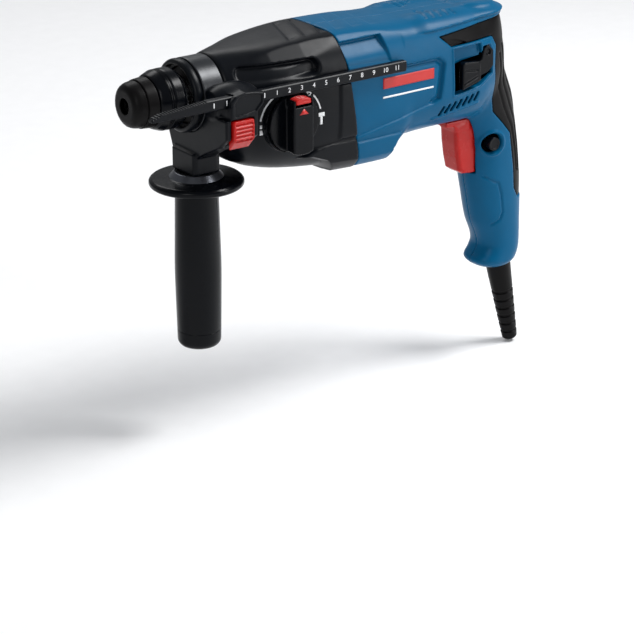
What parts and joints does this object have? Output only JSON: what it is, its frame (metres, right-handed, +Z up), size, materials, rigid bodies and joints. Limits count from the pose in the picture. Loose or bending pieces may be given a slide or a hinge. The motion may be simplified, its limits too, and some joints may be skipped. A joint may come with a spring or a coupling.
{
  "type": "rotary hammer",
  "caption": "Corded rotary hammer with pistol handle, tool holder with pull-back sleeve, clamp-on side handle with depth rod, mode dial and reversing lever.",
  "frame": {"origin": "on the spindle axis at the front face of the impact bolt, where the rear end of a bit shank rests", "axes": "+X back along the spindle axis from the tool holder to the handle, +Z up, -Y the side with the mode dial and the reversing lever"},
  "size_m": [0.3503, 0.0914, 0.2769],
  "materials": {
    "blue_shell": "fine grained moulded nylon, satin",
    "black_plastic": "fine grained moulded nylon",
    "soft_rubber": "matte overmoulded rubber",
    "grip_rubber": "matte ribbed rubber",
    "red_plastic": "satin moulded",
    "steel": "ground",
    "dark_steel": "phosphated",
    "black_steel": "black satin",
    "copper": "enamelled copper",
    "brass": "plain",
    "carbon": "pressed carbon",
    "aluminium": "die cast"
  },
  "bodies": {
    "housing": {"gear_housing": "black_plastic", "motor_housing_left": "blue_shell", "motor_housing_right": "blue_shell", "rear_grip": "soft_rubber", "bearing_bracket": "aluminium", "gear_housing_screw_1": "dark_steel", "gear_housing_screw_2": "dark_steel", "gear_housing_screw_3": "dark_steel", "gear_housing_screw_4": "dark_steel", "handle_screw_1": "dark_steel", "handle_screw_2": "dark_steel", "handle_screw_3": "dark_steel", "spindle_seal": "soft_rubber", "spindle_bearing_front": "steel", "spindle_bearing_rear": "steel", "countershaft_bearing_front": "steel", "countershaft_bearing_rear": "steel", "motor_bearing_front": "steel", "motor_bearing_rear": "steel", "stator_core": "dark_steel", "field_coil_upper": "copper", "field_coil_lower": "copper", "carbon_brush_left": "carbon", "carbon_brush_right": "carbon", "brush_holder_left": "brass", "brush_holder_right": "brass", "switch_module": "black_plastic", "cable_sleeve": "soft_rubber", "cable_clamp": "black_plastic"},
    "armature": {"armature_shaft": "steel", "armature_core": "dark_steel", "commutator": "copper", "cooling_fan": "black_plastic"},
    "countershaft": {"countershaft": "steel", "countershaft_gear": "steel", "wobble_sleeve": "steel"},
    "wobble_ring": {"wobble_ring": "steel"},
    "spindle": {"tool_holder": "steel", "hammer_tube": "steel", "spindle_gear": "steel", "locking_ball": "steel", "lock_ring": "steel", "dust_cap": "grip_rubber", "sleeve_spring": "steel"},
    "locking_sleeve": {"locking_sleeve": "black_steel"},
    "impact_bolt": {"impact_bolt": "steel"},
    "striker": {"striker": "steel"},
    "piston": {"piston": "aluminium"},
    "side_handle": {"clamp_band": "black_steel", "clamp_body": "black_plastic"},
    "side_grip": {"side_grip": "grip_rubber", "tie_bolt": "steel"},
    "depth_rod": {"depth_rod": "black_plastic"},
    "depth_button": {"depth_release_button": "red_plastic"},
    "trigger": {"trigger": "red_plastic"},
    "lock_button": {"lock_button": "black_plastic"},
    "direction_lever": {"direction_lever": "black_plastic"},
    "mode_dial": {"mode_dial": "black_plastic"},
    "mode_release": {"mode_release_button": "red_plastic"},
    "shift_plate": {"shift_plate": "dark_steel"}
  },
  "joints": [
    {"name": "motor_spin", "type": "hinge", "parent": "housing", "child": "armature", "pos_m": [0.18, 0, -0.0031], "axis": [1, 0, 0], "continuous": true},
    {"name": "countershaft_spin", "type": "hinge", "parent": "housing", "child": "countershaft", "pos_m": [0.09, 0, -0.0255], "axis": [1, 0, 0], "continuous": true},
    {"name": "spindle_spin", "type": "hinge", "parent": "housing", "child": "spindle", "pos_m": [0, 0, 0], "axis": [1, 0, 0], "continuous": true},
    {"name": "wobble_swing", "type": "hinge", "parent": "housing", "child": "wobble_ring", "pos_m": [0.098, 0, -0.0255], "axis": [0, 1, 0], "range_deg": [-14, 14]},
    {"name": "piston_stroke", "type": "slide", "parent": "housing", "child": "piston", "axis": [1, 0, 0], "range_m": [-0.0063, 0.0063]},
    {"name": "striker_flight", "type": "slide", "parent": "spindle", "child": "striker", "axis": [1, 0, 0], "range_m": [-0.0025, 0.007]},
    {"name": "impact_bolt_travel", "type": "slide", "parent": "spindle", "child": "impact_bolt", "axis": [1, 0, 0], "range_m": [0, 0.005]},
    {"name": "sleeve_release", "type": "slide", "parent": "spindle", "child": "locking_sleeve", "axis": [1, 0, 0], "range_m": [0, 0.0075], "stiffness_N_per_m": 1500, "springref_m": -0.004, "deforming": ["sleeve_spring"]},
    {"name": "side_handle_turn", "type": "hinge", "parent": "housing", "child": "side_handle", "pos_m": [0.0134, 0, 0], "axis": [1, 0, 0], "range_deg": [-90, 0]},
    {"name": "side_grip_tighten", "type": "hinge", "parent": "side_handle", "child": "side_grip", "pos_m": [0.0134, 0, -0.1], "axis": [0, 0, 1], "range_deg": [0, 270]},
    {"name": "depth_rod_slide", "type": "slide", "parent": "side_handle", "child": "depth_rod", "axis": [1, 0, 0], "range_m": [-0.1, 0.04]},
    {"name": "depth_button_press", "type": "slide", "parent": "side_handle", "child": "depth_button", "axis": [0, 1, 0], "range_m": [0, 0.003], "stiffness_N_per_m": 600, "springref_m": -0.003},
    {"name": "trigger_pull", "type": "slide", "parent": "housing", "child": "trigger", "axis": [1, 0, 0], "range_m": [0, 0.0065], "stiffness_N_per_m": 900, "springref_m": -0.004},
    {"name": "lock_button_press", "type": "slide", "parent": "housing", "child": "lock_button", "axis": [0, 1, 0], "range_m": [0, 0.003], "stiffness_N_per_m": 500, "springref_m": -0.003},
    {"name": "direction_lever_swing", "type": "hinge", "parent": "housing", "child": "direction_lever", "pos_m": [0.2385, -0.03, -0.0025], "axis": [0, 1, 0], "range_deg": [0, 24]},
    {"name": "mode_dial_turn", "type": "hinge", "parent": "housing", "child": "mode_dial", "pos_m": [0.0658, -0.045, -0.0205], "axis": [0, 1, 0], "range_deg": [-90, 90]},
    {"name": "mode_release_press", "type": "slide", "parent": "mode_dial", "child": "mode_release", "axis": [0, 0, -1], "range_m": [0, 0.0016], "stiffness_N_per_m": 500, "springref_m": -0.003},
    {"name": "shift_plate_slide", "type": "slide", "parent": "housing", "child": "shift_plate", "axis": [1, 0, 0], "range_m": [-0.003, 0.003]}
  ],
  "couplings": [
    {"joint": "countershaft_spin", "follows": "motor_spin", "ratio": -0.19149},
    {"joint": "spindle_spin", "follows": "motor_spin", "ratio": 0.079787},
    {"joint": "piston_stroke", "follows": "wobble_swing", "m_per_rad": 0.02525},
    {"joint": "shift_plate_slide", "follows": "mode_dial_turn", "m_per_rad": -0.0019099}
  ]
}
